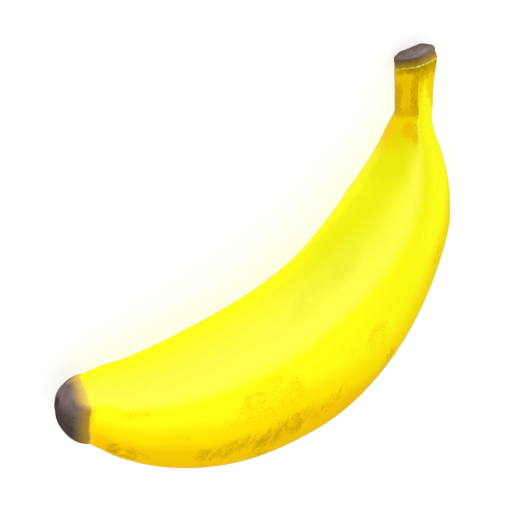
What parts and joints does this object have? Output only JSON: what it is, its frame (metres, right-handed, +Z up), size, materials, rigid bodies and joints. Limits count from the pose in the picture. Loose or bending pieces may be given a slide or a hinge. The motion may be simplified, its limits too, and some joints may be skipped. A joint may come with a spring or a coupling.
{
  "type": "banana",
  "caption": "Whole ripe banana with an evenly bent, softly five-faced body, a short slanted-cut stem and a round brown blossom end, lying on its side.",
  "frame": {"origin": "on the surface that the fruit lies on, under the centre of its bounding box", "axes": "+X toward the stem along the line from the blossom end's tip to the cut, +Y toward the hollow side of the bend, +Z up as the fruit lies on its side"},
  "size_m": [0.1404, 0.0596, 0.0394],
  "materials": {
    "peel": "satin"
  },
  "bodies": {
    "root": {"banana": "peel"}
  },
  "joints": []
}
